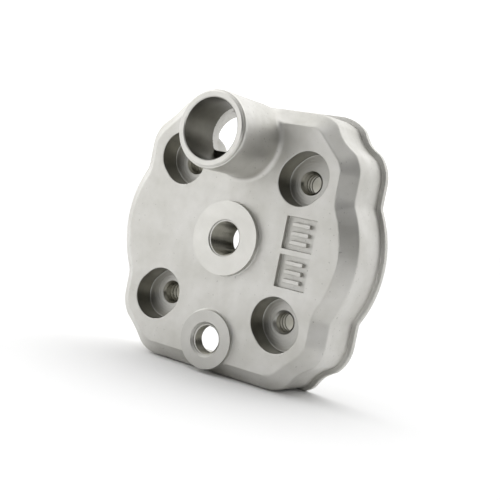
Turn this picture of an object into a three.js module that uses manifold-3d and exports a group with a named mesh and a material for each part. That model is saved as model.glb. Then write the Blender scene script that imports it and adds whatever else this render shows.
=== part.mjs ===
// Cylinder head of a small water-cooled two-stroke engine, standing on its lower edge.
// Millimetres, +Z up. The plug side faces -Y with its cast face at y = 0, and the
// gasket face is the far side at y = THICKNESS. The spark plug axis is parallel to Y.
// The head is one aluminium casting. Its six rubber rings sit in grooves in the gasket face.
// Shapes are laid out around the plug axis, so x and z = 0 is that axis until the last step.
import * as THREE from 'three';
import Module from 'manifold-3d';
import { mergeVertices } from 'three/addons/utils/BufferGeometryUtils.js';

// ---- Driving dimensions ----
const FOOT = 53.3;                 // plug axis above the flat lower edge
const THICKNESS = 25.5;            // cast face to gasket face
const STUD = 27;                   // stud holes at x, z = +-STUD, a 54 x 54 pattern

// Outline of the cast face: corners as half width, half height and fillet radius
const LOBE = { x: 52.9, z: 0, r: 38 };
const WAIST = { x: 42.4, z: 20.7, r: 12 };
const SHOULDER = { x: 42.4, z: 34.66, r: 8 };
const TOP = { x: 29.76, z: 47.3, r: 8 };

// The side of the casting, each as a distance out from that outline and a y
const BEVEL = { out: 5.75, y: 4.9 };
const WALL = { out: 6.25, y: 23.2 };
const RIM_OUT = 8;

// Concave dent in the middle of each corner, through wall and rim
const DENT = { along: -5, bevel: 9.35, wall: 9.55, rim: 7.8, out: 14.8 };

// Nut pockets, each a round pocket drawn out toward its corner
const POCKET = { r: 9.6, reach: 2.4, depth: 8.7, guard: 12.9, guardY: 12.7 };
const STUD_HOLE = { r: 3.8, chamfer: 0.6 };

// Plug seat and its M14 x 1.25 hole, at minor diameter
const PLUG = { boss: 14.5, height: 2.4, minor: 6.35, mouth: 7.3, end: 14.75 };

// Temperature sensor seat below it and its M12 x 1.5 hole, at minor diameter
const SENSOR = { z: -40.2, boss: 11.5, height: 1.9, minor: 5.25, mouth: 6.95 };

// Water outlet pipe, bored to endY, and the cast neck that flares from there into the jacket
const PIPE = { z: 39, r: 14.65, lip: 14.05, mouthY: -25.5, bore: 11.85, endY: -7, fillet: 3, root: 5.5 };
const NECK = { profile: [[11.6, -7.1], [12.2, -4], [13.5, 0], [16.6, 4.7], [16.6, 5.2]], roof: 50.8 };

// Raised generic bars in a sunk panel right of the plug
const PANEL = { left: 24.3, right: 37.4, top: 13.5, bottom: -13.5, depth: 2, rib: 2 };
const BAR = { width: 7.4, height: 1.6, pitch: 3.4, count: 3 };

// Combustion chamber: a bowl and the squish band around it
const BOWL_R = 18;
const SQUISH = { r: 27, depth: 0.8 };

// Water jacket: four chambers between the solid middle and the outer wall
const PLATE = 4.7;                 // thickness of the front wall
const CORE_R = 32.5;               // solid middle
const JACKET_Y = 22;               // the ribs between chambers stop short of the gasket face
const RIB_HALF = 7.4;
const CHAMBERS = [
  { turn: 0, reach: 49.7, half: 28.3, r: 11.5 },
  { turn: 1, reach: 49.5, half: 28.3, r: 20 },
  { turn: 2, reach: 48.4, half: 28.3, r: 11.5 },
  { turn: 3, reach: 49.5, half: 28.3, r: 20 },
];
const WET_OUT = 2.7;               // edge of the shallow wet face, out from the face outline
const LOW_SHIFT = 1.2;             // that edge and the outer groove are higher at the foot
const LAND_R = 31.8;               // seal land around the chamber
const PAD_R = 8;                   // seal pads around the studs

// Rubber rings and their grooves in the gasket face
const CORD = 1.78;
const GROOVE = { width: 2.2, depth: 1.43, gap: 0.05 };
const CHAMBER_RING_R = 29.3;
const STUD_RING_R = 6.1;
const JACKET_RING_OUT = 5;

// ---- Solids ----
const wasm = await Module();
wasm.setup();

function signedVolume(position, index) {
  const a = new THREE.Vector3(), b = new THREE.Vector3(), c = new THREE.Vector3();
  let sum = 0;
  for (let i = 0; i < index.length; i += 3) {
    a.fromBufferAttribute(position, index[i]);
    b.fromBufferAttribute(position, index[i + 1]);
    c.fromBufferAttribute(position, index[i + 2]);
    sum += a.dot(b.cross(c));
  }
  return sum;
}

// A closed geometry as a solid, with its faces turned outward
function solid(geometry) {
  geometry.deleteAttribute('normal');
  geometry.deleteAttribute('uv');
  const merged = mergeVertices(geometry, 1e-4);
  const index = Array.from(merged.index.array);
  if (signedVolume(merged.attributes.position, index) < 0) index.reverse();
  return new wasm.Manifold(new wasm.Mesh({
    numProp: 3,
    vertProperties: new Float32Array(merged.attributes.position.array),
    triVerts: new Uint32Array(index),
  }));
}

function geometryOf(body) {
  const mesh = body.getMesh();
  const geometry = new THREE.BufferGeometry();
  geometry.setAttribute('position', new THREE.BufferAttribute(mesh.vertProperties, 3));
  geometry.setIndex(new THREE.BufferAttribute(mesh.triVerts, 1));
  geometry.computeVertexNormals();
  return geometry;
}

// A flat shape drawn in x and z, as a prism between two values of y
function prism(shape, yFront, yBack, segments = 12) {
  const depth = yBack - yFront;
  const geometry = new THREE.ExtrudeGeometry(shape, { depth, bevelEnabled: false, curveSegments: segments });
  geometry.rotateX(Math.PI / 2);
  geometry.translate(0, yBack, 0);
  return solid(geometry);
}

// A profile of [radius, y] pairs turned about an axis parallel to Y
function turned(profile, x = 0, z = 0, segments = 36) {
  const points = profile.map(([r, y]) => new THREE.Vector2(r, y));
  const geometry = new THREE.LatheGeometry(points, segments);
  geometry.translate(x, 0, z);
  return solid(geometry);
}

// Skin over rings of equal point count: capped at both ends, or joined round to the first
function skin(rings, joined) {
  const count = rings[0].length;
  const position = [];
  const index = [];
  for (const ring of rings) {
    for (const p of ring) position.push(p.x, p.y, p.z);
  }
  const steps = joined ? rings.length : rings.length - 1;
  for (let k = 0; k < steps; k++) {
    const low = k * count;
    const high = ((k + 1) % rings.length) * count;
    for (let i = 0; i < count; i++) {
      const j = (i + 1) % count;
      index.push(low + i, low + j, high + j, low + i, high + j, high + i);
    }
  }
  if (!joined) {
    const cap = rings[0].map((p) => new THREE.Vector2(p.x, p.z));
    const last = (rings.length - 1) * count;
    for (const [a, b, c] of THREE.ShapeUtils.triangulateShape(cap, [])) {
      index.push(c, b, a, last + a, last + b, last + c);
    }
  }
  const geometry = new THREE.BufferGeometry();
  geometry.setAttribute('position', new THREE.Float32BufferAttribute(position, 3));
  geometry.setIndex(index);
  return solid(geometry);
}

// ---- Outline ----
// The corners in order around the head, counter-clockwise in x and z
function corners(lowShift) {
  const upper = [WAIST, SHOULDER, TOP];
  const right = upper.map(({ x, z, r }) => ({ x, z, r }));
  const left = upper.map(({ x, z, r }) => ({ x: -x, z, r })).reverse();
  const low = [...right, ...left].map(({ x, z, r }) => ({ x: -x, z: -z, r }));
  for (const corner of low) {
    if (corner.z < -TOP.z + 1) corner.z += lowShift;
    if (corner.z === -TOP.z + lowShift) corner.x += Math.sign(corner.x) * lowShift;
  }
  const middle = low.slice(0, 3);
  const rest = low.slice(3);
  return [{ ...LOBE }, ...right, ...left, { ...LOBE, x: -LOBE.x }, ...middle, ...rest];
}

// Points along the filleted outline, each with its outward normal
function filleted(vertices) {
  const points = [];
  vertices.forEach((vertex, i) => {
    const before = vertices[(i + vertices.length - 1) % vertices.length];
    const after = vertices[(i + 1) % vertices.length];
    const into = Math.atan2(vertex.z - before.z, vertex.x - before.x);
    const outOf = Math.atan2(after.z - vertex.z, after.x - vertex.x);
    const turn = Math.atan2(Math.sin(outOf - into), Math.cos(outOf - into));
    const side = Math.sign(turn);
    const tangent = vertex.r * Math.tan(Math.abs(turn) / 2);
    const startX = vertex.x - tangent * Math.cos(into);
    const startZ = vertex.z - tangent * Math.sin(into);
    const centreX = startX - side * vertex.r * Math.sin(into);
    const centreZ = startZ + side * vertex.r * Math.cos(into);
    const steps = Math.max(4, Math.round(Math.abs(turn) / 0.16));
    for (let k = 0; k <= steps; k++) {
      const heading = into + turn * k / steps;
      const nx = Math.sin(heading);
      const nz = -Math.cos(heading);
      points.push({ x: centreX + side * vertex.r * nx, z: centreZ + side * vertex.r * nz, nx, nz });
    }
  });
  return points;
}

const FACE_LINE = filleted(corners(0));
const SEAL_LINE = filleted(corners(LOW_SHIFT));

function ring(line, out, y) {
  return line.map((p) => new THREE.Vector3(p.x + out * p.nx, y, p.z + out * p.nz));
}

function lineShape(line, out) {
  return new THREE.Shape(line.map((p) => new THREE.Vector2(p.x + out * p.nx, p.z + out * p.nz)));
}

// ---- Shapes ----
function rectangle(left, bottom, right, top) {
  const shape = new THREE.Shape();
  shape.moveTo(left, bottom);
  shape.lineTo(right, bottom);
  shape.lineTo(right, top);
  shape.lineTo(left, top);
  shape.closePath();
  return shape;
}

// Round pocket drawn out toward the corner that sx and sz point at
function pocketShape(sx, sz) {
  const out = POCKET.reach / Math.SQRT2;
  const heading = Math.atan2(sz, sx);
  const shape = new THREE.Shape();
  const quarter = Math.PI / 2;
  shape.absarc(sx * (STUD + out), sz * (STUD + out), POCKET.r, heading - quarter, heading + quarter);
  shape.absarc(sx * STUD, sz * STUD, POCKET.r, heading + quarter, heading + 3 * quarter);
  shape.closePath();
  return shape;
}

// Water chamber on one side: a block with two rounded outer corners
function chamberShape({ reach, half, r }) {
  const shape = new THREE.Shape();
  shape.moveTo(half, 0);
  shape.absarc(half - r, reach - r, r, 0, Math.PI / 2);
  shape.absarc(r - half, reach - r, r, Math.PI / 2, Math.PI);
  shape.lineTo(-half, 0);
  shape.closePath();
  return shape;
}

function boxBetween(x0, x1, y0, y1, z0, z1) {
  const geometry = new THREE.BoxGeometry(x1 - x0, y1 - y0, z1 - z0);
  geometry.translate((x0 + x1) / 2, (y0 + y1) / 2, (z0 + z1) / 2);
  return solid(geometry);
}

function cylinderCut(r, yFront, yBack, x, z, segments = 28) {
  return turned([[0, yFront], [r, yFront], [r, yBack], [0, yBack]], x, z, segments);
}

const STUDS = [[1, 1], [-1, 1], [-1, -1], [1, -1]];

// ---- Outside of the casting ----
function castBody() {
  let body = skin([
    ring(FACE_LINE, 0, 0),
    ring(FACE_LINE, BEVEL.out, BEVEL.y),
    ring(FACE_LINE, WALL.out, WALL.y),
    ring(FACE_LINE, RIM_OUT, WALL.y),
    ring(FACE_LINE, RIM_OUT, THICKNESS),
  ], false);
  body = body.subtract(boxBetween(-80, 80, -5, 40, -FOOT - 20, -FOOT));
  for (const [sx, sz] of STUDS) {
    const sum = TOP.x + TOP.z + DENT.out * Math.SQRT2;
    const x = sx * (sum + DENT.along) / 2;
    const z = sz * (sum - DENT.along) / 2;
    const profile = [[0, PLATE], [DENT.bevel, PLATE], [DENT.wall, WALL.y], [DENT.rim, WALL.y]];
    body = body.subtract(turned([...profile, [DENT.rim, THICKNESS + 1], [0, THICKNESS + 1]], x, z));
  }
  return body;
}

// Outlet pipe with a fillet at its foot, which stops flush with the top of the casting
function pipeBody() {
  const foot = [[0, -PIPE.fillet], [PIPE.r, -PIPE.fillet]];
  const steps = 4;
  for (let k = 1; k <= steps; k++) {
    const angle = Math.PI / 2 * k / steps;
    const r = PIPE.r + PIPE.fillet * (1 - Math.cos(angle));
    foot.push([r, -PIPE.fillet * (1 - Math.sin(angle))]);
  }
  foot.push([PIPE.r + PIPE.fillet, PIPE.root], [0, PIPE.root]);
  const limit = prism(lineShape(FACE_LINE, BEVEL.out), -PIPE.fillet - 1, PIPE.root + 1);
  const edge = PIPE.r - PIPE.lip;
  const tube = turned([
    [0, PIPE.mouthY],
    [PIPE.lip, PIPE.mouthY],
    [PIPE.r, PIPE.mouthY + edge],
    [PIPE.r, PIPE.root],
    [0, PIPE.root],
  ], 0, PIPE.z, 48);
  return tube.add(turned(foot, 0, PIPE.z, 48).intersect(limit));
}

function seatBody(seat, z, backY) {
  return cylinderCut(seat.boss, -seat.height, backY, 0, z, 40);
}

// ---- Inside of the casting ----
// Threaded hole with a chamfered mouth, from its seat to endY
function threadedHole(seat, z, endY) {
  const chamfer = seat.mouth - seat.minor;
  return turned([
    [0, -seat.height - 1],
    [seat.mouth, -seat.height - 1],
    [seat.mouth, -seat.height],
    [seat.minor, -seat.height + chamfer],
    [seat.minor, endY],
    [0, endY],
  ], 0, z, 28);
}

function pipeBore() {
  return cylinderCut(PIPE.bore, PIPE.mouthY - 1, PIPE.endY, 0, PIPE.z, 40);
}

// The neck is flat below, level with the solid middle, and stays under the top of the casting
function neck() {
  const front = NECK.profile[0][1];
  const back = NECK.profile.at(-1)[1];
  const flare = turned([[0, front], ...NECK.profile, [0, back]], 0, PIPE.z, 40);
  return flare.intersect(boxBetween(-STUD, STUD, front - 1, back + 1, CORE_R, NECK.roof));
}

// Bowl as part of a sphere that opens at the squish band and is cut flat at the plug
function bowlCut() {
  const rise = THICKNESS - SQUISH.depth - PLUG.end;
  const half = (BOWL_R ** 2 - PLUG.mouth ** 2 - rise ** 2) / (2 * rise);
  const radius = Math.hypot(BOWL_R, half);
  const centreY = THICKNESS - SQUISH.depth + half;
  const first = Math.asin(PLUG.mouth / radius);
  const last = Math.asin(BOWL_R / radius);
  const profile = [[0, PLUG.end]];
  const steps = 5;
  for (let k = 0; k <= steps; k++) {
    const angle = first + (last - first) * k / steps;
    profile.push([radius * Math.sin(angle), centreY - radius * Math.cos(angle)]);
  }
  profile.push([BOWL_R, THICKNESS + 1], [0, THICKNESS + 1]);
  return turned(profile, 0, 0, 40);
}

function waterJacket() {
  let jacket = null;
  for (const chamber of CHAMBERS) {
    const geometry = new THREE.ExtrudeGeometry(chamberShape(chamber), {
      depth: JACKET_Y + 1 - PLATE, bevelEnabled: false, curveSegments: 6,
    });
    geometry.rotateX(Math.PI / 2);
    geometry.translate(0, JACKET_Y + 1, 0);
    geometry.rotateY(chamber.turn * Math.PI / 2);
    const room = solid(geometry);
    jacket = jacket ? jacket.add(room) : room;
  }
  jacket = jacket.add(neck());
  for (const heading of [1, -1]) {
    const rib = new THREE.BoxGeometry(200, 60, 2 * RIB_HALF);
    rib.rotateY(heading * Math.PI / 4);
    jacket = jacket.subtract(solid(rib));
  }
  const wet = skin([ring(SEAL_LINE, WET_OUT, JACKET_Y), ring(SEAL_LINE, WET_OUT, THICKNESS + 1)], false);
  jacket = jacket.add(wet).subtract(cylinderCut(CORE_R, 0, JACKET_Y, 0, 0, 56));
  jacket = jacket.subtract(cylinderCut(LAND_R, 0, THICKNESS + 2, 0, 0, 56));
  for (const [sx, sz] of STUDS) {
    jacket = jacket.subtract(cylinderCut(PAD_R, 0, THICKNESS + 2, sx * STUD, sz * STUD));
    jacket = jacket.subtract(cylinderCut(POCKET.guard, 0, POCKET.guardY, sx * STUD, sz * STUD));
  }
  return jacket;
}

function roundGroove(radius, x, z, segments) {
  const low = THICKNESS - GROOVE.depth;
  const inner = radius - GROOVE.width / 2;
  const outer = radius + GROOVE.width / 2;
  const high = THICKNESS + 1;
  return turned([[inner, low], [outer, low], [outer, high], [inner, high], [inner, low]], x, z, segments);
}

function jacketGroove() {
  const low = THICKNESS - GROOVE.depth;
  const inner = JACKET_RING_OUT - GROOVE.width / 2;
  const outer = JACKET_RING_OUT + GROOVE.width / 2;
  return skin([
    ring(SEAL_LINE, inner, low),
    ring(SEAL_LINE, outer, low),
    ring(SEAL_LINE, outer, THICKNESS + 1),
    ring(SEAL_LINE, inner, THICKNESS + 1),
  ], true);
}

function panelCut() {
  const { left, right, top, bottom, depth, rib } = PANEL;
  let cut = boxBetween(left, right, -1, depth, bottom, top);
  const middle = (left + right) / 2;
  cut = cut.subtract(boxBetween(left - 1, right + 1, -2, depth + 1, -rib / 2, rib / 2));
  for (const half of [(top + rib / 2) / 2, (bottom - rib / 2) / 2]) {
    for (let k = 0; k < BAR.count; k++) {
      const z = half + (k - (BAR.count - 1) / 2) * BAR.pitch;
      const x0 = middle - BAR.width / 2;
      cut = cut.subtract(boxBetween(x0, x0 + BAR.width, 0, depth + 1, z - BAR.height / 2, z + BAR.height / 2));
    }
  }
  return cut;
}

function headCasting() {
  let head = castBody().add(pipeBody());
  head = head.add(seatBody(PLUG, 0, 2)).add(seatBody(SENSOR, SENSOR.z, PLATE));
  const cuts = [
    pipeBore(),
    threadedHole(PLUG, 0, PLUG.end + 1),
    threadedHole(SENSOR, SENSOR.z, PLATE + 1),
    bowlCut(),
    cylinderCut(SQUISH.r, THICKNESS - SQUISH.depth, THICKNESS + 1, 0, 0, 56),
    waterJacket(),
    roundGroove(CHAMBER_RING_R, 0, 0, 56),
    jacketGroove(),
    panelCut(),
  ];
  for (const [sx, sz] of STUDS) {
    const x = sx * STUD;
    const z = sz * STUD;
    const wide = STUD_HOLE.r + STUD_HOLE.chamfer;
    cuts.push(prism(pocketShape(sx, sz), -5, POCKET.depth, 14));
    cuts.push(turned([
      [0, POCKET.depth - 1],
      [wide, POCKET.depth - 1],
      [wide, POCKET.depth],
      [STUD_HOLE.r, POCKET.depth + STUD_HOLE.chamfer],
      [STUD_HOLE.r, THICKNESS + 1],
      [0, THICKNESS + 1],
    ], x, z, 28));
    cuts.push(roundGroove(STUD_RING_R, x, z, 28));
  }
  for (const cut of cuts) head = head.subtract(cut);
  return geometryOf(head);
}

// ---- Rubber rings ----
const RING_Y = THICKNESS - GROOVE.depth + GROOVE.gap + CORD / 2;

function roundRing(radius, x, z, segments) {
  const geometry = new THREE.TorusGeometry(radius, CORD / 2, 8, segments);
  geometry.rotateX(Math.PI / 2);
  geometry.translate(x, RING_Y, z);
  return geometryOf(solid(geometry));
}

function jacketRing() {
  const rings = [];
  const sides = 8;
  for (let k = 0; k < sides; k++) {
    const angle = 2 * Math.PI * k / sides;
    const out = JACKET_RING_OUT + CORD / 2 * Math.cos(angle);
    rings.push(ring(SEAL_LINE, out, RING_Y + CORD / 2 * Math.sin(angle)));
  }
  return geometryOf(skin(rings, true));
}

// ---- Assembly ----
const aluminium = { color: 0xc9c6c0, roughness: 0.5, metalness: 0.85 };
const rubber = { color: 0x1c1c1e, roughness: 0.75, metalness: 0 };
const head = new THREE.Group();

function place(name, geometry, look) {
  const mesh = new THREE.Mesh(geometry, new THREE.MeshStandardMaterial(look));
  mesh.name = name;
  mesh.position.z = FOOT;
  head.add(mesh);
}

place('head_casting', headCasting(), aluminium);
place('chamber_o_ring', roundRing(CHAMBER_RING_R, 0, 0, 56), rubber);
place('jacket_o_ring', jacketRing(), rubber);
STUDS.forEach(([sx, sz], i) => {
  place(`stud_o_ring_${i + 1}`, roundRing(STUD_RING_R, sx * STUD, sz * STUD, 24), rubber);
});

export default head;
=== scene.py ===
import math

import bpy
import numpy as np
from mathutils import Matrix, Vector


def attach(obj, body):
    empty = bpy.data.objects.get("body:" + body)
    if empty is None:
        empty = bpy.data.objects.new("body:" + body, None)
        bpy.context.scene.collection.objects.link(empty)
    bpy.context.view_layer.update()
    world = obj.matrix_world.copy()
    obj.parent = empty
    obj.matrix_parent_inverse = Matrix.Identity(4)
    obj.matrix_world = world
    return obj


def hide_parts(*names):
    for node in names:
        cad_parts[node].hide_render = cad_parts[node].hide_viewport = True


# A two-stroke cylinder head: a blasted aluminium casting with machined seats, standing on its
# lower edge. Shapes are worked out in millimetres around the plug axis, with y = 0 at the cast
# face and +y towards the gasket face, and turned into the frame's metres at the end.

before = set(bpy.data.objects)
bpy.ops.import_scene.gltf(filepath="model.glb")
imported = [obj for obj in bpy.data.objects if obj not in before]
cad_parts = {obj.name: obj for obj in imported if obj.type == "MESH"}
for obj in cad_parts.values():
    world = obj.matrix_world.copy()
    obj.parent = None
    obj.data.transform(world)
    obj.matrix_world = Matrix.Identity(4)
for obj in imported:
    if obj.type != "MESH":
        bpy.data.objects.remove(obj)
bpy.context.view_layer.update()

# ---- Dimensions, mm ----
FOOT = 53.3                # plug axis above the lower edge
THICKNESS = 25.5           # cast face to gasket face
STUD = 27.0                # stud holes at x, z = +-STUD
STUDS = [(1, 1), (-1, 1), (-1, -1), (1, -1)]
PLATE = 4.7                # front wall over the water jacket

# Cast outline: corners as half width, half height and fillet radius
LOBE = (52.9, 0.0, 38.0)
WAIST = (42.4, 20.7, 12.0)
SHOULDER = (42.4, 34.66, 8.0)
CROWN = (29.76, 47.3, 8.0)
LOW_SHIFT = 1.2            # the seal line is higher at the foot than the outline

BEVEL_OUT, BEVEL_Y = 5.75, 4.9
WALL_OUT, WALL_Y = 6.25, 23.2
RIM_OUT = 8.0
DENT_AT = (46.5, 51.5)     # axis of the concave dent in each corner
DENT_WALL, DENT_RIM = 9.45, 7.8

POCKET_R, POCKET_REACH, POCKET_DEPTH = 9.6, 2.4, 8.7
POCKET_EDGE, POCKET_DRAFT, POCKET_FLOOR_R = 0.35, 0.15, 0.4
GUARD_R, GUARD_Y = 12.9, 12.7     # metal kept around and behind each pocket
STUD_R, STUD_CHAMFER_R, STUD_CHAMFER, STUD_EXIT = 3.8, 4.7, 0.75, 0.5
STUD_STEPS_Y, STUD_STEP = (11.5, 13.6, 15.7), 0.18

PLUG_BOSS, PLUG_HEIGHT, PLUG_END = 14.5, 2.4, 14.75
PLUG_MINOR, PLUG_MAJOR, PLUG_PITCH, PLUG_MOUTH = 6.35, 7.0, 1.25, 7.3
SENSOR_Z, SENSOR_BOSS, SENSOR_HEIGHT = -40.2, 11.5, 1.9
SENSOR_MINOR, SENSOR_MAJOR, SENSOR_PITCH, SENSOR_MOUTH = 5.25, 6.0, 1.5, 6.95

PIPE_Z, PIPE_R, PIPE_MOUTH_Y = 39.0, 14.65, -25.5
PIPE_LIP, PIPE_BORE, PIPE_BORE_END_Y, PIPE_FILLET = 14.05, 11.5, -6.3, 2.0
PIPE_DRAFT, PIPE_CHAMFER = 0.008, 0.35
# Turned end of the pipe: radius and distance behind the mouth, with a groove behind the lip
PIPE_END = [(13.5, 0), (PIPE_LIP, 0.5), (PIPE_LIP, 0.8), (PIPE_LIP - 0.3, 0.95),
            (PIPE_LIP - 0.3, 1.15), (PIPE_LIP + 0.4, 1.35), (PIPE_R + 0.02, 2.1)]
# Cast neck that flares from the end of the bore into the jacket: radii at each y, and its top
NECK_Y, NECK_R, NECK_ROOF = (-8.6, -4.0, 0.0, 4.7, 6.5), (10.9, 12.2, 13.5, 16.6, 16.6), 50.8

PANEL_X, PANEL_Z, PANEL_DEPTH, PANEL_RIB = (24.3, 37.4), 13.5, 2.0, 2.0
BAR_WIDTH, BAR_HEIGHT, BAR_PITCH, BAR_COUNT = 7.4, 1.6, 3.4, 3

BOWL_R, SQUISH_R, SQUISH_DEPTH = 18.0, 27.0, 0.8
CORE_R, LAND_R, PAD_R, RIB_HALF, JACKET_Y, WET_OUT = 32.5, 31.8, 8.0, 7.4, 22.0, 2.7
# Water chambers: quarter turn, reach from the plug axis, half width, corner radius
CHAMBERS = [(0, 49.7, 28.3, 11.5), (1, 49.5, 28.3, 20.0), (2, 48.4, 28.3, 11.5), (3, 49.5, 28.3, 20.0)]

CORD, GROOVE_WIDTH, GROOVE_DEPTH, GROOVE_GAP = 1.78, 2.2, 1.43, 0.05
CHAMBER_RING_R, STUD_RING_R, JACKET_RING_OUT = 29.3, 6.1, 5.0

STOCK = 1.5                # metal cast on for the machining to take off
CLEAR = 3                  # how far a cutting tool reaches past the face it opens
EDGE_R = 0.4               # soft edge left on the casting
CORE_EDGE_R = 2.5          # rounding on the sand core
JACKET_DRAFT = 0.02
OUTLINE_STEP = 0.06        # angle between points on a rounded corner, radians

CAST_CELL = 0.5
JACKET_CELL = 0.7
CAST_KEEP, JACKET_KEEP = 0.22, 0.3      # share of the triangles kept when thinned out
# Low and high corners of the space searched for each surface
CAST_SPAN = (-64, -28, -57), (64, 29, 58)
JACKET_SPAN = (-56, -11, -52), (56, 28.5, 54)


# ---- The outline ----
def outline_corners(low_shift):
    """Corners in order, counter-clockwise in x and z."""
    upper = [WAIST, SHOULDER, CROWN]
    left = [(-x, z, r) for x, z, r in reversed(upper)]
    low = [(-x, -z, r) for x, z, r in upper + left]
    for i in (2, 3):
        x, z, r = low[i]
        low[i] = (x + math.copysign(low_shift, x), z + low_shift, r)
    return [LOBE, *upper, *left, (-LOBE[0], LOBE[1], LOBE[2]), *low]


def filleted(corners, step):
    """Points along the outline with its corners rounded, and their outward normals."""
    points, normals = [], []
    for i, (x, z, r) in enumerate(corners):
        bx, bz, _ = corners[i - 1]
        ax, az, _ = corners[(i + 1) % len(corners)]
        into = math.atan2(z - bz, x - bx)
        turn = math.remainder(math.atan2(az - z, ax - x) - into, 2 * math.pi)
        side = math.copysign(1, turn)
        tangent = r * math.tan(abs(turn) / 2)
        centre = np.array([x - tangent * math.cos(into) - side * r * math.sin(into),
                           z - tangent * math.sin(into) + side * r * math.cos(into)])
        count = max(4, round(abs(turn) / step))
        for heading in np.linspace(into, into + turn, count + 1):
            normal = np.array([math.sin(heading), -math.cos(heading)])
            points.append(centre + side * r * normal)
            normals.append(normal)
    return np.array(points), np.array(normals)


FACE_LINE, _ = filleted(outline_corners(0), OUTLINE_STEP)
SEAL_LINE, SEAL_NORMALS = filleted(outline_corners(LOW_SHIFT), OUTLINE_STEP)


class Distance:
    """Signed distance to a closed line, negative inside, looked up on a fine grid."""

    def __init__(self, line, reach=64.0, cell=0.25):
        self.low, self.cell = -reach, cell
        at = np.arange(-reach, reach + cell, cell)
        x, z = np.meshgrid(at, at, indexing="ij")
        best = np.full(x.shape, np.inf)
        inside = np.zeros(x.shape, bool)
        for (ax, az), (bx, bz) in zip(line, np.roll(line, -1, axis=0)):
            dx, dz = bx - ax, bz - az
            t = np.clip(((x - ax) * dx + (z - az) * dz) / (dx * dx + dz * dz + 1e-12), 0, 1)
            best = np.minimum(best, (x - ax - t * dx) ** 2 + (z - az - t * dz) ** 2)
            if abs(dz) > 1e-9:
                inside ^= ((az > z) != (bz > z)) & (x < dx * (z - az) / dz + ax)
        self.grid = np.where(inside, -1, 1) * np.sqrt(best)

    def __call__(self, x, z):
        u = np.clip((x - self.low) / self.cell, 0, self.grid.shape[0] - 2)
        w = np.clip((z - self.low) / self.cell, 0, self.grid.shape[1] - 2)
        i, j = u.astype(int), w.astype(int)
        u, w = u - i, w - j
        g = self.grid
        low = g[i, j] * (1 - u) + g[i + 1, j] * u
        high = g[i, j + 1] * (1 - u) + g[i + 1, j + 1] * u
        return low * (1 - w) + high * w


to_face = Distance(FACE_LINE)
to_seal = Distance(SEAL_LINE)


# ---- Soft cast shapes, as distances that are negative inside ----
def both(a, b, r):
    """What a and b share, with the edge between them rounded to radius r."""
    corner = np.hypot(np.maximum(a + r, 0), np.maximum(b + r, 0))
    return np.minimum(np.maximum(a, b), -r) + corner


def either(a, b, r):
    """a joined to b, with a fillet of radius r between them."""
    return -both(-a, -b, r)


def stud_distance(x, z):
    return np.hypot(np.abs(x) - STUD, np.abs(z) - STUD)


def casting(x, y, z):
    """The outer skin of the casting, left long where it is machined."""
    d = to_face(x, z)
    slope = math.hypot(BEVEL_OUT, BEVEL_Y)
    bevel = (BEVEL_Y * d - BEVEL_OUT * y) / slope
    drift = (WALL_OUT - BEVEL_OUT) / (WALL_Y - BEVEL_Y)
    wall = d - BEVEL_OUT - drift * (y - BEVEL_Y)
    dent = np.hypot(np.abs(x) - DENT_AT[0], np.abs(z) - DENT_AT[1])
    wall = both(wall, DENT_WALL - dent, 2.5)
    block = both(both(-y, bevel, 0.12), wall, EDGE_R)
    rim = both(both(d - RIM_OUT, DENT_RIM - dent, 1.5), WALL_Y - y, EDGE_R)
    body = either(block, rim, EDGE_R)
    boss = np.maximum(np.hypot(x, z) - PLUG_BOSS, -PLUG_HEIGHT - STOCK - y)
    body = either(body, np.maximum(boss, y - 2), 0.5)
    seat = np.maximum(np.hypot(x, z - SENSOR_Z) - SENSOR_BOSS, -SENSOR_HEIGHT - STOCK - y)
    body = either(body, np.maximum(seat, y - PLATE - 3), 0.9)
    radius = PIPE_R + PIPE_DRAFT * (y - PIPE_MOUTH_Y)
    pipe = np.maximum(np.hypot(x, z - PIPE_Z) - radius, y - 3)
    body = either(body, np.maximum(pipe, PIPE_MOUTH_Y - 2 - y), PIPE_FILLET)
    return np.maximum(both(body, -FOOT - z, 0.8), y - THICKNESS - STOCK)


def jacket_core(x, y, z):
    """The sand core that leaves the water jacket, with its corners rounded."""
    radius = np.hypot(x, z)
    rooms = None
    for turn, reach, half, r in CHAMBERS:
        c, s = round(math.cos(turn * math.pi / 2)), round(math.sin(turn * math.pi / 2))
        across, out = c * x - s * z, s * x + c * z
        u, w = np.abs(across) - half + r, out - reach + r
        room = np.hypot(np.maximum(u, 0), np.maximum(w, 0)) + np.minimum(np.maximum(u, w), 0) - r
        room = np.maximum(room, 10 - out)
        rooms = room if rooms is None else np.minimum(rooms, room)
    flare = np.hypot(x, z - PIPE_Z) - np.interp(y, NECK_Y, NECK_R)
    flare = both(both(flare, CORE_R - z, 0.8), z - NECK_ROOF, 1.5)
    neck = np.maximum(flare, np.maximum(NECK_Y[0] - y, y - NECK_Y[-1]))
    rooms = both(rooms, CORE_R - radius, CORE_EDGE_R)
    for rib in (x + z, x - z):
        rooms = both(rooms, RIB_HALF - np.abs(rib) / math.sqrt(2), CORE_EDGE_R)
    stud = stud_distance(x, z)
    rooms = both(rooms, PAD_R - stud, 1.5)
    rooms = rooms + JACKET_DRAFT * (JACKET_Y - y)
    guard = np.maximum(stud - GUARD_R, y - GUARD_Y)
    rooms = either(both(rooms, PLATE - y, CORE_EDGE_R), neck, 2.0)
    rooms = both(rooms, -guard, 2.0)
    wet = both(both(to_seal(x, z) - WET_OUT, LAND_R - radius, 0.8), PAD_R - stud, 0.8)
    wet = both(wet, JACKET_Y - y, 0.6)
    return np.maximum(either(rooms, wet, 0.8), y - THICKNESS - STOCK)


EDGES = [(axis, b, c) for axis in range(3) for b in (0, 1) for c in (0, 1)]


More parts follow.
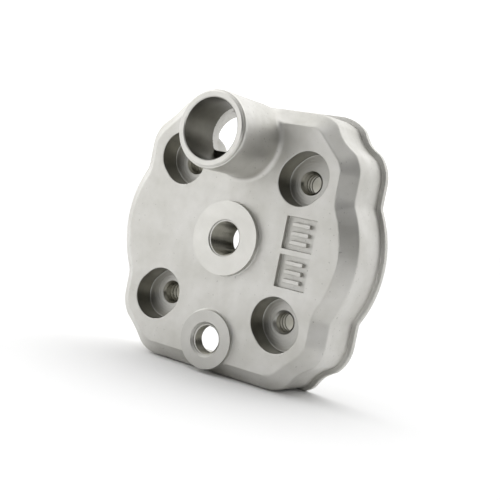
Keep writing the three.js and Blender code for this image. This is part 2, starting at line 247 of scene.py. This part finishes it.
def surface(shape, low, high, cell):
    """Points and quads of the surface where shape is zero, one point per crossed grid cell."""
    axes = [np.arange(a, b + cell, cell) for a, b in zip(low, high)]
    value = shape(*np.meshgrid(*axes, indexing="ij"))
    inside = value < 0
    blocks = [inside[i:inside.shape[0] - 1 + i, j:inside.shape[1] - 1 + j, k:inside.shape[2] - 1 + k]
              for i in (0, 1) for j in (0, 1) for k in (0, 1)]
    crossed = np.logical_or.reduce(blocks) & ~np.logical_and.reduce(blocks)
    cells = np.argwhere(crossed)
    number = np.full(crossed.shape, -1)
    number[tuple(cells.T)] = np.arange(len(cells))
    total, count = np.zeros((len(cells), 3)), np.zeros((len(cells), 1))
    for axis, b, c in EDGES:
        start = np.zeros(3, int)
        start[(axis + 1) % 3], start[(axis + 2) % 3] = b, c
        end = start.copy()
        end[axis] = 1
        first, last = value[tuple((cells + start).T)], value[tuple((cells + end).T)]
        hit = ((first < 0) != (last < 0))[:, None]
        part = (first / np.where(first == last, 1, first - last))[:, None]
        total += hit * (start + part * (end - start))
        count += hit
    points = np.array(low) + (cells + total / count) * cell
    quads = []
    for axis in range(3):
        along = np.eye(3, dtype=int)[axis]
        side, other = np.eye(3, dtype=int)[(axis + 1) % 3], np.eye(3, dtype=int)[(axis + 2) % 3]
        shape_end = np.array(inside.shape) - along
        here = inside[:shape_end[0], :shape_end[1], :shape_end[2]]
        there = inside[along[0]:, along[1]:, along[2]:]
        nodes = np.argwhere(here != there)
        ring = [number[tuple((nodes - a * side - b * other).T)] for a, b in ((1, 1), (0, 1), (0, 0), (1, 0))]
        faces = np.stack(ring, axis=1)
        outward = here[tuple(nodes.T)]
        quads.append(np.where(outward[:, None], faces, faces[:, ::-1]))
    return settle(shape, points, cell), np.concatenate(quads)


def settle(shape, points, cell):
    """Moves each point along the gradient until it lies on the surface."""
    for _ in range(4):
        value = shape(*points.T)
        slope = np.stack([(shape(*(points + e).T) - shape(*(points - e).T)) / 0.04
                          for e in 0.02 * np.eye(3)], axis=1)
        move = slope * (value / np.maximum((slope ** 2).sum(1), 0.2))[:, None]
        size = np.linalg.norm(move, axis=1, keepdims=True)
        points = points - move * np.minimum(1, 0.5 * cell / np.maximum(size, 1e-9))
    return points


# ---- Meshes ----
def new_object(name, points, faces):
    mesh = bpy.data.meshes.new(name)
    mesh.from_pydata([tuple(p) for p in points], [], [tuple(map(int, f)) for f in faces])
    mesh.validate()
    obj = bpy.data.objects.new(name, mesh)
    bpy.context.scene.collection.objects.link(obj)
    return obj


def outward(obj):
    """Turns the faces of a closed mesh outward."""
    mesh = obj.data
    mesh.calc_loop_triangles()
    co = np.array([v.co for v in mesh.vertices])
    tri = np.array([t.vertices for t in mesh.loop_triangles])
    volume = np.einsum("ij,ij->i", co[tri[:, 0]], np.cross(co[tri[:, 1]], co[tri[:, 2]])).sum()
    if volume < 0:
        mesh.flip_normals()
    return obj


def rings_object(name, rings, joined):
    """Skin over rings of equal point count, capped, or joined round to the first."""
    count = len(rings[0])
    points = np.concatenate(rings)
    faces = []
    for k in range(len(rings) if joined else len(rings) - 1):
        low, high = k * count, (k + 1) % len(rings) * count
        for i in range(count):
            j = (i + 1) % count
            faces.append((low + i, low + j, high + j, high + i))
    if not joined:
        faces.append(tuple(reversed(range(count))))
        faces.append(tuple(range((len(rings) - 1) * count, len(rings) * count)))
    return outward(new_object(name, points, faces))


def turned(name, profile, x=0.0, z=0.0, segments=128):
    """A profile of (radius, y) pairs turned about an axis parallel to y at x, z.
    It closes on itself if it never touches the axis."""
    angles = np.linspace(0, 2 * math.pi, segments, endpoint=False)
    on_axis = profile[0][0] == 0
    rings = [np.stack([x + r * np.cos(angles), np.full(segments, float(y)), z + r * np.sin(angles)], axis=1)
             for r, y in profile if not (on_axis and r == 0)]
    return rings_object(name, rings, joined=not on_axis)


def box(name, low, high, round_edge=0.0):
    (x0, y0, z0), (x1, y1, z1) = low, high
    points = [(x, y, z) for x in (x0, x1) for y in (y0, y1) for z in (z0, z1)]
    faces = [(0, 1, 3, 2), (4, 6, 7, 5), (0, 4, 5, 1), (2, 3, 7, 6), (0, 2, 6, 4), (1, 5, 7, 3)]
    obj = outward(new_object(name, points, faces))
    if round_edge:
        modifier = obj.modifiers.new("edge", "BEVEL")
        modifier.width = round_edge
        modifier.segments = 3
        bake_modifiers(obj)
    return obj


def bake_modifiers(obj):
    graph = bpy.context.evaluated_depsgraph_get()
    mesh = bpy.data.meshes.new_from_object(obj.evaluated_get(graph), depsgraph=graph)
    obj.modifiers.clear()
    obj.data = mesh


def combine(target, tool, operation):
    modifier = target.modifiers.new(operation.lower(), "BOOLEAN")
    modifier.operation = operation
    modifier.solver = "MANIFOLD"
    modifier.object = tool
    bake_modifiers(target)
    bpy.data.objects.remove(tool)


def cut(target, tool):
    combine(target, tool, "DIFFERENCE")


def thin_out(obj, ratio):
    modifier = obj.modifiers.new("thin", "DECIMATE")
    modifier.ratio = ratio
    bake_modifiers(obj)


def thread(name, minor, major, pitch, y0, y1, z):
    """A threaded rod to cut with: the radius follows the helix round and along the axis."""
    segments, per_pitch = 96, 10
    rows = int(math.ceil((y1 - y0) / pitch * per_pitch))
    angles = np.linspace(0, 2 * math.pi, segments, endpoint=False)
    rings = []
    for row in range(rows + 1):
        y = y0 + row * pitch / per_pitch
        phase = np.mod(y / pitch - angles / (2 * math.pi), 1)
        crest = np.clip(1.35 * (1 - np.abs(2 * phase - 1)) - 0.12, 0, 1)
        r = minor + (major - minor) * crest
        rings.append(np.stack([r * np.cos(angles), np.full(segments, y), z + r * np.sin(angles)], axis=1))
    return rings_object(name, rings, joined=False)


def obround(sx, sz, grow, y, segments=24):
    """Ring of the pocket's plan: a circle drawn out towards the corner, grown by grow."""
    heading = math.atan2(sz, sx)
    out = POCKET_REACH / math.sqrt(2)
    points = []
    for shift, start in ((out, heading - math.pi / 2), (0.0, heading + math.pi / 2)):
        for angle in np.linspace(start, start + math.pi, segments):
            points.append((sx * (STUD + shift) + (POCKET_R + grow) * math.cos(angle), y,
                           sz * (STUD + shift) + (POCKET_R + grow) * math.sin(angle)))
    return np.array(points)


def line_ring(line, normals, out, y):
    flat = line + out * normals
    return np.stack([flat[:, 0], np.full(len(flat), y), flat[:, 1]], axis=1)


# ---- Tools that machine the casting ----
def pocket_tool(sx, sz):
    rings = [obround(sx, sz, 0.5, -CLEAR), obround(sx, sz, 0.5, -0.02)]
    for angle in np.linspace(0, 90, 5):
        a = math.radians(angle)
        rings.append(obround(sx, sz, POCKET_EDGE * (1 - math.sin(a)), POCKET_EDGE * (1 - math.cos(a))))
    for angle in np.linspace(0, 90, 6):
        a = math.radians(angle)
        rings.append(obround(sx, sz, -POCKET_DRAFT - POCKET_FLOOR_R * (1 - math.cos(a)),
                             POCKET_DEPTH - POCKET_FLOOR_R * (1 - math.sin(a))))
    return rings_object("pocket_tool", rings, joined=False)


def stud_tool(sx, sz):
    profile = [(0, POCKET_DEPTH - 2), (STUD_CHAMFER_R, POCKET_DEPTH - 2), (STUD_CHAMFER_R, POCKET_DEPTH),
               (STUD_R, POCKET_DEPTH + STUD_CHAMFER)]
    wide = STUD_R + STUD_STEP
    for y in STUD_STEPS_Y:
        profile += [(STUD_R, y), (wide, y + 0.2), (wide, y + 0.9), (STUD_R, y + 1.1)]
    exit_r = STUD_R + STUD_EXIT
    profile += [(STUD_R, THICKNESS - 0.4), (exit_r, THICKNESS + 0.1), (exit_r, THICKNESS + CLEAR)]
    profile += [(0, THICKNESS + CLEAR)]
    return turned("stud_tool", profile, sx * STUD, sz * STUD, 64)


def groove_tool(radius, x, z, segments):
    low, half = THICKNESS - GROOVE_DEPTH, GROOVE_WIDTH / 2
    profile = [(radius - half, low), (radius + half, low), (radius + half, THICKNESS + CLEAR),
               (radius - half, THICKNESS + CLEAR)]
    return turned("groove_tool", profile, x, z, segments)


def jacket_groove_tool():
    low, half = THICKNESS - GROOVE_DEPTH, GROOVE_WIDTH / 2
    sides = [(-half, low), (half, low), (half, THICKNESS + CLEAR), (-half, THICKNESS + CLEAR)]
    rings = [line_ring(SEAL_LINE, SEAL_NORMALS, JACKET_RING_OUT + out, y) for out, y in sides]
    return rings_object("jacket_groove_tool", rings, joined=True)


def bowl_tool():
    rise = THICKNESS - SQUISH_DEPTH - PLUG_END
    half = (BOWL_R ** 2 - PLUG_MOUTH ** 2 - rise ** 2) / (2 * rise)
    radius, centre_y = math.hypot(BOWL_R, half), THICKNESS - SQUISH_DEPTH + half
    first, last = math.asin(PLUG_MOUTH / radius), math.asin(BOWL_R / radius)
    profile = [(0, PLUG_END)]
    for angle in np.linspace(first, last, 24):
        profile.append((radius * math.sin(angle), centre_y - radius * math.cos(angle)))
    edge = THICKNESS - SQUISH_DEPTH
    profile += [(BOWL_R + 0.5, edge + 0.15), (BOWL_R + 0.5, edge + 0.5), (0, edge + 0.5)]
    return turned("bowl_tool", profile)


def squish_tool():
    edge = THICKNESS - SQUISH_DEPTH
    profile = [(0, edge), (SQUISH_R - 0.2, edge), (SQUISH_R, edge + 0.2), (SQUISH_R, THICKNESS - 0.15),
               (SQUISH_R + 0.3, THICKNESS + 0.15), (SQUISH_R + 0.3, THICKNESS + CLEAR),
               (0, THICKNESS + CLEAR)]
    return turned("squish_tool", profile, segments=192)


def facing_tool(radius, y, z):
    """Clears everything in front of y within radius."""
    return turned("facing_tool", [(0, y - 8), (radius, y - 8), (radius, y), (0, y)], 0, z)


def mouth_tool(major, mouth, seat_y, z):
    """Chamfer and short relief at the mouth of a threaded hole, wider than the thread."""
    relief = major + 0.08
    end = seat_y + mouth - relief
    profile = [(0, seat_y - CLEAR), (mouth, seat_y - CLEAR), (mouth, seat_y), (relief, end),
               (relief, end + 0.25), (0, end + 0.25)]
    return turned("mouth_tool", profile, 0, z)


def pipe_lip_tool():
    front, outside = PIPE_MOUTH_Y - 4, 18
    profile = [(PIPE_END[0][0], front)]
    profile += [(radius, PIPE_MOUTH_Y + behind) for radius, behind in PIPE_END]
    profile += [(outside, PIPE_MOUTH_Y + PIPE_END[-1][1]), (outside, front)]
    return turned("pipe_lip_tool", profile, 0, PIPE_Z, 160)


def pipe_bore_tool():
    front, mouth = PIPE_MOUTH_Y - 4, PIPE_BORE + PIPE_CHAMFER
    profile = [(0, front), (mouth, front), (mouth, PIPE_MOUTH_Y), (PIPE_BORE, PIPE_MOUTH_Y + PIPE_CHAMFER)]
    profile += [(PIPE_BORE, PIPE_BORE_END_Y), (0, PIPE_BORE_END_Y)]
    return turned("pipe_bore_tool", profile, 0, PIPE_Z, 160)


def machine(head):
    back = box("back_tool", (-80, THICKNESS, -80), (80, THICKNESS + 20, 80))
    cut(head, back)
    cut(head, facing_tool(16, PIPE_MOUTH_Y, PIPE_Z))
    cut(head, pipe_lip_tool())
    cut(head, facing_tool(PLUG_BOSS + 1, -PLUG_HEIGHT, 0))
    cut(head, facing_tool(SENSOR_BOSS + 1.5, -SENSOR_HEIGHT, SENSOR_Z))
    cut(head, pipe_bore_tool())
    cut(head, bowl_tool())
    cut(head, squish_tool())
    plug_tap = thread("plug_tap", PLUG_MINOR, PLUG_MAJOR, PLUG_PITCH,
                      -PLUG_HEIGHT - 2, PLUG_END + CLEAR, 0)
    cut(head, plug_tap)
    cut(head, mouth_tool(PLUG_MAJOR, PLUG_MOUTH, -PLUG_HEIGHT, 0))
    sensor_tap = thread("sensor_tap", SENSOR_MINOR, SENSOR_MAJOR, SENSOR_PITCH,
                        -SENSOR_HEIGHT - 2, PLATE + CLEAR, SENSOR_Z)
    cut(head, sensor_tap)
    cut(head, mouth_tool(SENSOR_MAJOR, SENSOR_MOUTH, -SENSOR_HEIGHT, SENSOR_Z))
    for sx, sz in STUDS:
        cut(head, pocket_tool(sx, sz))
        cut(head, stud_tool(sx, sz))
        cut(head, groove_tool(STUD_RING_R, sx * STUD, sz * STUD, 64))
    cut(head, groove_tool(CHAMBER_RING_R, 0, 0, 192))
    cut(head, jacket_groove_tool())


def mark_panel(head):
    """Sunk panel in two frames, each with plain raised bars."""
    low, high = PANEL_X
    middle = (low + high) / 2
    for side in (1, -1):
        ends = sorted((side * PANEL_RIB / 2, side * PANEL_Z))
        cut(head, box("panel_tool", (low, -3, ends[0]), (high, PANEL_DEPTH, ends[1]), 0.3))
        centre = sum(ends) / 2
        for k in range(BAR_COUNT):
            z = centre + (k - (BAR_COUNT - 1) / 2) * BAR_PITCH
            bar = box("bar", (middle - BAR_WIDTH / 2, 0.1, z - BAR_HEIGHT / 2),
                      (middle + BAR_WIDTH / 2, PANEL_DEPTH + 1, z + BAR_HEIGHT / 2), 0.25)
            combine(head, bar, "UNION")


# ---- Build the head ----
def build_head():
    points, quads = surface(casting, *CAST_SPAN, CAST_CELL)
    head = outward(new_object("cylinder_head", points, quads))
    thin_out(head, CAST_KEEP)
    points, quads = surface(jacket_core, *JACKET_SPAN, JACKET_CELL)
    core = outward(new_object("jacket_core", points, quads))
    thin_out(core, JACKET_KEEP)
    cut(head, core)
    machine(head)
    mark_panel(head)
    return head


def to_frame(obj):
    """From millimetres around the plug axis to metres above the foot."""
    obj.data.transform(Matrix.Scale(0.001, 4) @ Matrix.Translation((0, 0, FOOT)))
    obj.data.update()


def smooth(obj, degrees):
    obj.data.shade_smooth()
    obj.data.set_sharp_from_angle(angle=math.radians(degrees))
    modifier = obj.modifiers.new("normals", "WEIGHTED_NORMAL")
    modifier.keep_sharp = True
    modifier.weight = 60


head = build_head()
to_frame(head)
smooth(head, 30)
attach(head, "root")
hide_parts("head_casting")

# ---- Rubber rings ----
RING_Y = THICKNESS - GROOVE_DEPTH + GROOVE_GAP + CORD / 2


def round_ring(name, radius, x, z, segments):
    profile = [(radius + CORD / 2 * math.cos(a), RING_Y + CORD / 2 * math.sin(a))
               for a in np.linspace(0, 2 * math.pi, 20, endpoint=False)]
    return turned(name, profile, x, z, segments)


def jacket_ring(name):
    rings = [line_ring(SEAL_LINE, SEAL_NORMALS, JACKET_RING_OUT + CORD / 2 * math.cos(a),
                       RING_Y + CORD / 2 * math.sin(a))
             for a in np.linspace(0, 2 * math.pi, 20, endpoint=False)]
    return rings_object(name, rings, joined=True)


rings = {
    "chamber_o_ring": round_ring("chamber_seal", CHAMBER_RING_R, 0, 0, 160),
    "jacket_o_ring": jacket_ring("jacket_seal"),
}
for number, (sx, sz) in enumerate(STUDS, start=1):
    name = f"stud_o_ring_{number}"
    rings[name] = round_ring(f"stud_seal_{number}", STUD_RING_R, sx * STUD, sz * STUD, 64)


# ---- Materials ----
class Nodes:
    """Short calls for building one node material."""

    def __init__(self, name, roughness, metallic):
        self.material = bpy.data.materials.new(name)
        self.material.use_nodes = True
        self.tree = self.material.node_tree
        self.shader = self.tree.nodes["Principled BSDF"]
        self.shader.inputs["Roughness"].default_value = roughness
        self.shader.inputs["Metallic"].default_value = metallic
        self.place = self.tree.nodes.new("ShaderNodeTexCoord").outputs["Object"]

    def link(self, source, socket):
        self.tree.links.new(source, socket)

    def noise(self, scale, detail=4.0, rough=0.55, distortion=0.0):
        node = self.tree.nodes.new("ShaderNodeTexNoise")
        node.inputs["Scale"].default_value = scale
        node.inputs["Detail"].default_value = detail
        node.inputs["Roughness"].default_value = rough
        node.inputs["Distortion"].default_value = distortion
        self.link(self.place, node.inputs["Vector"])
        return node.outputs["Fac"]

    def ramp(self, fac, stops):
        node = self.tree.nodes.new("ShaderNodeValToRGB")
        ramp = node.color_ramp
        while len(ramp.elements) < len(stops):
            ramp.elements.new(0.5)
        for element, (at, value) in zip(ramp.elements, stops):
            element.position = at
            element.color = (*value, 1) if isinstance(value, tuple) else (value, value, value, 1)
        self.link(fac, node.inputs["Fac"])
        return node.outputs["Color"]

    def mix(self, fac, a, b, mode="MIX"):
        node = self.tree.nodes.new("ShaderNodeMix")
        node.data_type = "RGBA"
        node.blend_type = mode
        for socket, value in ((node.inputs[0], fac), (node.inputs[6], a), (node.inputs[7], b)):
            if isinstance(value, (int, float)):
                socket.default_value = value
            elif isinstance(value, tuple):
                socket.default_value = (*value, 1)
            else:
                self.link(value, socket)
        return node.outputs[2]

    def bump(self, height, strength, distance, normal=None):
        node = self.tree.nodes.new("ShaderNodeBump")
        node.inputs["Strength"].default_value = strength
        node.inputs["Distance"].default_value = distance
        self.link(height, node.inputs["Height"])
        if normal is not None:
            self.link(normal, node.inputs["Normal"])
        return node.outputs["Normal"]

    def turning(self, x, z, pitch):
        """Fine concentric lathe marks around an axis parallel to y, 0 to 1 across each mark."""
        nodes = self.tree.nodes
        shift = nodes.new("ShaderNodeVectorMath")
        shift.operation = "SUBTRACT"
        shift.inputs[1].default_value = (x * 0.001, 0, (z + FOOT) * 0.001)
        self.link(self.place, shift.inputs[0])
        flat = nodes.new("ShaderNodeVectorMath")
        flat.operation = "MULTIPLY"
        flat.inputs[1].default_value = (1, 0, 1)
        self.link(shift.outputs[0], flat.inputs[0])
        length = nodes.new("ShaderNodeVectorMath")
        length.operation = "LENGTH"
        self.link(flat.outputs[0], length.inputs[0])
        wave = nodes.new("ShaderNodeMath")
        wave.operation = "MULTIPLY"
        wave.inputs[1].default_value = 2 * math.pi / (pitch * 0.001)
        self.link(length.outputs["Value"], wave.inputs[0])
        sine = nodes.new("ShaderNodeMath")
        sine.operation = "SINE"
        self.link(wave.outputs[0], sine.inputs[0])
        return sine.outputs[0]

    def finish(self, colour, normal=None, roughness=None):
        self.link(colour, self.shader.inputs["Base Color"])
        if normal is not None:
            self.link(normal, self.shader.inputs["Normal"])
        if roughness is not None:
            self.link(roughness, self.shader.inputs["Roughness"])
        return self.material


def cast_skin():
    """Blasted aluminium: a fine even grain, faint cloudy tone and a few small pits."""
    n = Nodes("blasted_aluminium", 0.45, 1.0)
    cloud = n.ramp(n.noise(70, 3), [(0.35, (0.545, 0.537, 0.503)), (0.65, (0.625, 0.617, 0.59))])
    pits = n.ramp(n.noise(900, 2), [(0.25, 0.0), (0.33, 1.0)])
    colour = n.mix(0.35, cloud, pits, "MULTIPLY")
    grain = n.bump(n.noise(2600, 3, 0.7), 0.2, 0.0001)
    waves = n.bump(n.noise(220, 2), 0.2, 0.0002, grain)
    rough = n.ramp(n.noise(400, 4), [(0.3, 0.46), (0.7, 0.55)])
    return n.finish(colour, waves, rough)


def toned(tone, *colours):
    return [tuple(tone * c for c in colour) for colour in colours]


def machined(name, x, z, pitch, tone=1.0, depth=0.000004):
    """Face-turned aluminium with concentric tool marks, darker where tone is below 1."""
    n = Nodes(name, 0.38, 1.0)
    dark, light = toned(tone, (0.56, 0.552, 0.52), (0.62, 0.612, 0.58))
    colour = n.ramp(n.noise(120, 3), [(0.3, dark), (0.7, light)])
    marks = n.bump(n.turning(x, z, pitch), 0.15, depth)
    grain = n.bump(n.noise(1500, 3, 0.6), 0.08, 0.00001, marks)
    rough = n.ramp(n.noise(300, 3), [(0.3, 0.34), (0.7, 0.42)])
    return n.finish(colour, grain, rough)


def bore_painted_shade(name, tone=1.0):
    """Bored and tapped walls, darker than the blasted skin as painted shade inside the holes and pockets."""
    n = Nodes(name, 0.32, 1.0)
    dark, light = toned(tone, (0.24, 0.232, 0.196), (0.295, 0.286, 0.243))
    colour = n.ramp(n.noise(160, 3), [(0.3, dark), (0.7, light)])
    grain = n.bump(n.noise(900, 3, 0.6), 0.15, 0.00003)
    return n.finish(colour, grain)


def rim_skin():
    """The trimmed edge of the casting, rougher and speckled."""
    n = Nodes("trimmed_aluminium", 0.5, 1.0)
    speck = n.ramp(n.noise(1300, 3, 0.75), [(0.3, (0.42, 0.415, 0.39)), (0.5, (0.58, 0.572, 0.54))])
    grain = n.bump(n.noise(1100, 4, 0.75), 0.4, 0.00015)
    return n.finish(speck, grain)


def rubber():
    n = Nodes("ring_rubber", 0.6, 0.0)
    colour = n.ramp(n.noise(500, 4), [(0.3, (0.012, 0.012, 0.013)), (0.7, (0.022, 0.022, 0.024))])
    grain = n.bump(n.noise(3000, 2), 0.2, 0.00005)
    return n.finish(colour, grain)


def face_data(mesh):
    """Centres and normals of the faces, back in millimetres around the plug axis."""
    count = len(mesh.polygons)
    centres, normals = np.zeros(count * 3), np.zeros(count * 3)
    mesh.polygons.foreach_get("center", centres)
    mesh.polygons.foreach_get("normal", normals)
    centres = centres.reshape(-1, 3) * 1000
    centres[:, 2] -= FOOT
    return centres, normals.reshape(-1, 3)


def paint_head(head):
    """Gives each face of the casting the finish of the process that made it; the bore, thread and pocket
    walls and the nut seats also carry painted shade.
    """
    materials = [cast_skin(), rim_skin(), machined("plug_seat_turned", 0, 0, 0.35),
                 machined("outlet_turned", 0, PIPE_Z, 0.3),
                 machined("sensor_seat_turned", 0, SENSOR_Z, 0.35, 0.82),
                 machined("gasket_face_turned", 0, 0, 0.5)]
    _, rim, plug_seat, outlet_end, sensor_seat, gasket_face = range(len(materials))
    nut_seat = len(materials)
    # Nut seats at the pocket floors are darkened to 0.75 as painted shade of the deep pockets.
    for i, (sx, sz) in enumerate(STUDS, start=1):
        materials.append(machined(f"nut_seat_turned_{i}", sx * STUD, sz * STUD, 1.1, 0.75, 0.00006))
    # Bore, thread, stud-hole and pocket walls get a dark base colour as painted shade of the holes; the
    # outlet bore is darker still.
    shaded_bore, outlet_bore_shade = len(materials), len(materials) + 1
    materials += [bore_painted_shade("bored_aluminium_painted_shade"), bore_painted_shade("outlet_bore_shade", 0.45)]
    head.data.materials.clear()
    for material in materials:
        head.data.materials.append(material)
    (x, y, z), (_, ny, _) = (part.T for part in face_data(head.data))
    index = np.zeros(len(x), int)
    d = to_face(x, z)
    dent = np.hypot(np.abs(x) - DENT_AT[0], np.abs(z) - DENT_AT[1])
    index[(y > WALL_Y + 0.1) & ((d > RIM_OUT - 0.35) | (dent < DENT_RIM + 0.35))] = rim
    plug = np.hypot(x, z)
    index[(plug < PLUG_BOSS + 0.1) & (y < -PLUG_HEIGHT + 0.05)] = plug_seat
    upright = np.abs(ny) < 0.9
    index[(plug < PLUG_MAJOR + 0.1) & upright & (y < PLUG_END + 0.5)] = shaded_bore
    outlet = np.hypot(x, z - PIPE_Z)
    index[(outlet < PIPE_R + 0.3) & (y < PIPE_MOUTH_Y + 2.2)] = outlet_end
    # Outlet bore walls: painted shade, with a base colour at 0.45 of the other bores.
    index[(outlet < PIPE_BORE + 0.2) & (y > PIPE_MOUTH_Y + 0.2) & (y < PIPE_BORE_END_Y + 0.05)] = outlet_bore_shade
    sensor = np.hypot(x, z - SENSOR_Z)
    index[(sensor < SENSOR_BOSS + 0.3) & (y < -SENSOR_HEIGHT + 0.05)] = sensor_seat
    index[(sensor < SENSOR_MAJOR + 0.1) & upright & (y < PLATE + 0.5)] = shaded_bore
    index[(ny > 0.9) & (y > THICKNESS - 0.01)] = gasket_face
    index[(plug < SQUISH_R + 0.4) & (y > PLUG_END - 0.1) & (index != plug_seat)] = gasket_face
    for i, (sx, sz) in enumerate(STUDS):
        near = np.hypot(x - sx * STUD, z - sz * STUD) < POCKET_R + 3
        reach = POCKET_REACH / math.sqrt(2)
        along = np.clip(((x - sx * STUD) * sx + (z - sz * STUD) * sz) / (2 * reach), 0, 1) * reach
        wall = np.hypot(x - sx * (STUD + along), z - sz * (STUD + along)) < POCKET_R + 0.1
        index[wall & (y > 0.2) & (y < POCKET_DEPTH + 0.1) & upright] = shaded_bore
        index[(stud_distance(x, z) < STUD_R + 0.6) & upright] = shaded_bore
        index[near & (ny < -0.6) & (y > POCKET_DEPTH - 0.6) & (y < POCKET_DEPTH + 1)] = nut_seat + i
    head.data.polygons.foreach_set("material_index", index)
    head.data.update()


paint_head(head)
ring_rubber = rubber()
for node, ring in rings.items():
    to_frame(ring)
    ring.data.shade_smooth()
    ring.data.materials.append(ring_rubber)
    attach(ring, "root")
    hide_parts(node)


# ---- Stage, light and camera ----
def plain(name, colour, roughness):
    material = bpy.data.materials.new(name)
    material.use_nodes = True
    shader = material.node_tree.nodes["Principled BSDF"]
    shader.inputs["Base Color"].default_value = (colour, colour, colour, 1)
    shader.inputs["Roughness"].default_value = roughness
    return material


def floor(half, colour):
    points = [(-half, -half, 0), (half, -half, 0), (half, half, 0), (-half, half, 0)]
    stage = new_object("stage_floor", points, [(0, 1, 2, 3)])
    stage.data.materials.append(plain("stage_white", colour, 0.9))


def softbox(name, at, target, size, radiance):
    """Soft rectangular light of that brightness, whatever its size."""
    light = bpy.data.lights.new(name, "AREA")
    light.shape = "RECTANGLE"
    light.size, light.size_y = size
    light.energy = radiance * math.pi * size[0] * size[1]
    obj = bpy.data.objects.new(name, light)
    obj.location = at
    obj.rotation_euler = (Vector(target) - Vector(at)).to_track_quat("-Z", "Y").to_euler()
    bpy.context.scene.collection.objects.link(obj)


def light_tent(lobes):
    """Surroundings that glow towards each direction, from nothing at low to full at high.
    Seen straight on they are plain white."""
    world = bpy.data.worlds.new("light_tent")
    world.use_nodes = True
    tree = world.node_tree
    place = tree.nodes.new("ShaderNodeTexCoord")
    total = None
    for towards, low, high, strength in lobes:
        dot = tree.nodes.new("ShaderNodeVectorMath")
        dot.operation = "DOT_PRODUCT"
        dot.inputs[1].default_value = Vector(towards).normalized()
        tree.links.new(place.outputs["Generated"], dot.inputs[0])
        ramp = tree.nodes.new("ShaderNodeMapRange")
        ramp.interpolation_type = "SMOOTHSTEP"
        for name, value in (("From Min", low), ("From Max", high), ("To Min", 0), ("To Max", strength)):
            ramp.inputs[name].default_value = value
        tree.links.new(dot.outputs["Value"], ramp.inputs["Value"])
        if total is None:
            total = ramp.outputs["Result"]
        else:
            add = tree.nodes.new("ShaderNodeMath")
            add.operation = "ADD"
            tree.links.new(total, add.inputs[0])
            tree.links.new(ramp.outputs["Result"], add.inputs[1])
            total = add.outputs[0]
    backdrop = tree.nodes.new("ShaderNodeMath")
    backdrop.operation = "MAXIMUM"
    tree.links.new(total, backdrop.inputs[0])
    tree.links.new(tree.nodes.new("ShaderNodeLightPath").outputs["Is Camera Ray"], backdrop.inputs[1])
    tree.links.new(backdrop.outputs[0], tree.nodes["Background"].inputs["Strength"])
    tree.nodes["Background"].inputs["Color"].default_value = (1, 1, 1, 1)
    bpy.context.scene.world = world


floor(20.0, 0.92)
middle = (0, 0.01, 0.055)
softbox("key_softbox", (-0.65, -0.95, 0.45), middle, (1.1, 0.9), 1.15)
softbox("side_softbox", (-1.1, -0.25, 0.5), middle, (0.9, 0.9), 0.85)
light_tent([((-0.4, 0.9, 0.1), -0.35, 0.4, 1.25), ((0, 0, 1), 0.2, 0.9, 0.65)])
bpy.context.scene.view_settings.view_transform = "Standard"

CAMERA_AT = Vector((0.1950, -0.3017, 0.0695))
CAMERA_RIGHT = Vector((0.8324, 0.5192, 0.1940))
CAMERA_UP = Vector((-0.1927, -0.0571, 0.9796))
FIELD_OF_VIEW = 30.2
lens = bpy.data.cameras.new("camera")
lens.angle = math.radians(FIELD_OF_VIEW)
lens.clip_start = 0.01
camera = bpy.data.objects.new("camera", lens)
turn = Matrix((CAMERA_RIGHT, CAMERA_UP, CAMERA_RIGHT.cross(CAMERA_UP))).transposed()
camera.matrix_world = Matrix.Translation(CAMERA_AT) @ turn.to_4x4()
bpy.context.scene.collection.objects.link(camera)
bpy.context.scene.camera = camera
